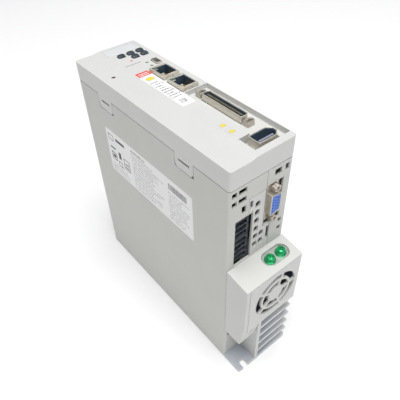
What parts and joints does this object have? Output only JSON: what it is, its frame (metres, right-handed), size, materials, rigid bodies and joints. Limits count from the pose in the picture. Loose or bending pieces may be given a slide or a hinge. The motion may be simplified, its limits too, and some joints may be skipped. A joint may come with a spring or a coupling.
{
  "type": "servo drive",
  "caption": "Narrow book-style servo drive: plastic case on a finned heat sink with foot and ear, fan in a box below, keys, display and sockets on the front.",
  "frame": {"origin": "under the middle of the drive's bounding box, on the mounting face of the back plate", "axes": "+Z out of the front panel, away from the mounting face; +Y towards the top end of the drive as it hangs on a wall; +X across the width towards the fin side, away from the rating label"},
  "size_m": [0.05, 0.194, 0.1932],
  "materials": {
    "cast_sink": "cast and machined, light satin",
    "shell_grey": "fine moulded texture, light warm grey",
    "cover_white": "fine moulded texture, off-white",
    "fan_grey": "fine moulded texture, light grey",
    "window_smoke": "smooth, slightly frosted",
    "key_slate": "satin rubbery plastic",
    "black_plastic": "satin",
    "fan_black": "glossy moulding",
    "tin_shell": "warm tin plate",
    "steel": "bright zinc",
    "gold_contact": "gold flash",
    "brass_standoff": "turned",
    "earth_green": "green passivated, glossy",
    "insert_blue": "smooth",
    "board_green": "solder mask",
    "can_sleeve": "printed sleeve",
    "pad_grey": "soft",
    "winding": "enamelled copper",
    "wire_red": "smooth insulation",
    "label_white": "printed film",
    "lamp_red": "tinted lens",
    "lamp_green": "tinted lens"
  },
  "bodies": {
    "drive": {"heatsink": "cast_sink", "housing": "shell_grey", "front_cover": "cover_white", "display_window": "window_smoke", "display_module": "black_plastic", "keypad_board": "board_green", "tact_switches": "black_plastic", "usb_shell": "tin_shell", "usb_tongue": "black_plastic", "charge_lamp": "lamp_red", "status_lamps": "lamp_green", "jack_shields": "tin_shell", "jack_inserts": "black_plastic", "jack_contacts": "gold_contact", "jack_lamps": "lamp_green", "io_shell": "tin_shell", "io_insert": "black_plastic", "io_contacts": "gold_contact", "io_latches": "steel", "aux_shell": "tin_shell", "aux_insert": "black_plastic", "aux_contacts": "gold_contact", "encoder_shell": "tin_shell", "encoder_insert": "insert_blue", "encoder_posts": "steel", "motor_header": "black_plastic", "brake_header": "black_plastic", "input_header": "black_plastic", "header_blades": "steel", "vent_panel": "shell_grey", "fan_housing": "fan_grey", "fan_cover": "fan_grey", "fan_frame": "fan_black", "fan_lead": "wire_red", "earth_plate": "steel", "earth_screws": "earth_green", "control_board": "board_green", "power_board": "board_green", "board_link": "black_plastic", "bus_capacitors": "can_sleeve", "power_module": "black_plastic", "thermal_pad": "pad_grey", "bridge_rectifier": "black_plastic", "transformer": "winding", "inrush_relay": "black_plastic", "line_choke": "winding", "control_standoffs": "brass_standoff", "power_standoffs": "brass_standoff", "board_screws": "steel", "case_screws": "steel", "rating_label": "label_white", "notice_label": "label_white", "caution_labels": "label_white"},
    "rotor": {"fan_rotor": "fan_black"},
    "mode_key": {"mode_button": "key_slate"},
    "shift_key": {"shift_button": "key_slate"},
    "up_key": {"up_button": "key_slate"},
    "down_key": {"down_button": "key_slate"},
    "set_key": {"set_button": "key_slate"}
  },
  "joints": [
    {"name": "fan_spin", "type": "hinge", "parent": "drive", "child": "rotor", "pos_m": [0.003, -0.08545, 0.0815], "axis": [0, 1, 0], "continuous": true},
    {"name": "mode_press", "type": "slide", "parent": "drive", "child": "mode_key", "axis": [0, 0, -1], "range_m": [0, 0.0005], "stiffness_N_per_m": 400, "springref_m": -0.0005},
    {"name": "shift_press", "type": "slide", "parent": "drive", "child": "shift_key", "axis": [0, 0, -1], "range_m": [0, 0.0005], "stiffness_N_per_m": 400, "springref_m": -0.0005},
    {"name": "up_press", "type": "slide", "parent": "drive", "child": "up_key", "axis": [0, 0, -1], "range_m": [0, 0.0005], "stiffness_N_per_m": 400, "springref_m": -0.0005},
    {"name": "down_press", "type": "slide", "parent": "drive", "child": "down_key", "axis": [0, 0, -1], "range_m": [0, 0.0005], "stiffness_N_per_m": 400, "springref_m": -0.0005},
    {"name": "set_press", "type": "slide", "parent": "drive", "child": "set_key", "axis": [0, 0, -1], "range_m": [0, 0.0005], "stiffness_N_per_m": 400, "springref_m": -0.0005}
  ]
}
